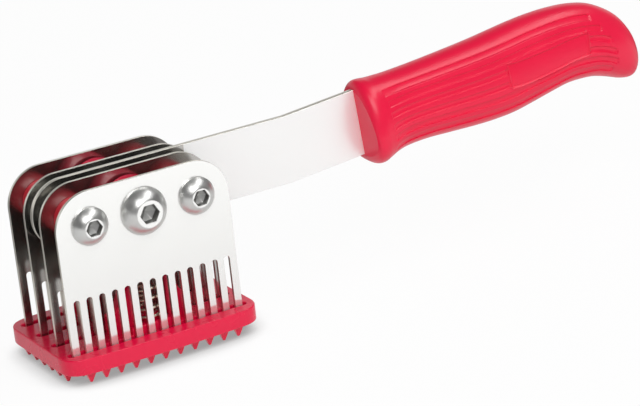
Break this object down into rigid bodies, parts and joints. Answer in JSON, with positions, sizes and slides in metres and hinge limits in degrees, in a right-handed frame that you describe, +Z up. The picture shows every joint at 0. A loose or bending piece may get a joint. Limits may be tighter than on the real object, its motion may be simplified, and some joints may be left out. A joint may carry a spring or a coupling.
{
  "type": "meat mallet",
  "caption": "Blade-type meat tenderiser mallet: toothed steel plates on a shank with a moulded handle push through a sprung, spiked plastic base.",
  "frame": {"origin": "on the floor plane through the spike tips, under the middle of the whole mallet's box", "axes": "+X from the toothed head towards the handle, +Z up, Y across the plates with the screw heads at -Y"},
  "size_m": [0.2494, 0.052, 0.0767],
  "materials": {
    "plate_steel": "polished stainless sheet",
    "shank_steel": "polished stainless strip",
    "screw_steel": "plain stainless, slightly dull",
    "spring_steel": "drawn wire",
    "red_base_plastic": "glossy moulded",
    "red_spacer_plastic": "moulded",
    "handle_plastic": "glossy moulded"
  },
  "bodies": {
    "head": {"blade_plate_1": "plate_steel", "blade_plate_2": "plate_steel", "blade_plate_3": "plate_steel", "blade_plate_4": "plate_steel", "shank": "shank_steel", "handle": "handle_plastic", "spring_front": "spring_steel", "spring_rear": "spring_steel", "left_screw": "screw_steel", "left_nut": "screw_steel", "red_spacer_left_front": "red_spacer_plastic", "shank_spacer_left_front": "screw_steel", "red_spacer_left_rear": "red_spacer_plastic", "shank_spacer_left_rear": "screw_steel", "centre_screw": "screw_steel", "centre_nut": "screw_steel", "centre_sleeve_front": "screw_steel", "shank_spacer_centre_front": "screw_steel", "centre_sleeve_rear": "screw_steel", "shank_spacer_centre_rear": "screw_steel", "right_screw": "screw_steel", "right_nut": "screw_steel", "red_spacer_right_front": "red_spacer_plastic", "shank_spacer_right_front": "screw_steel", "red_spacer_right_rear": "red_spacer_plastic", "shank_spacer_right_rear": "screw_steel"},
    "stripper": {"stripper_base": "red_base_plastic"}
  },
  "joints": [
    {"name": "stripper_slide", "type": "slide", "parent": "head", "child": "stripper", "axis": [0, 0, 1], "range_m": [0, 0.015], "stiffness_N_per_m": 3000, "springref_m": -0.005, "deforming": ["spring_front", "spring_rear"]}
  ]
}
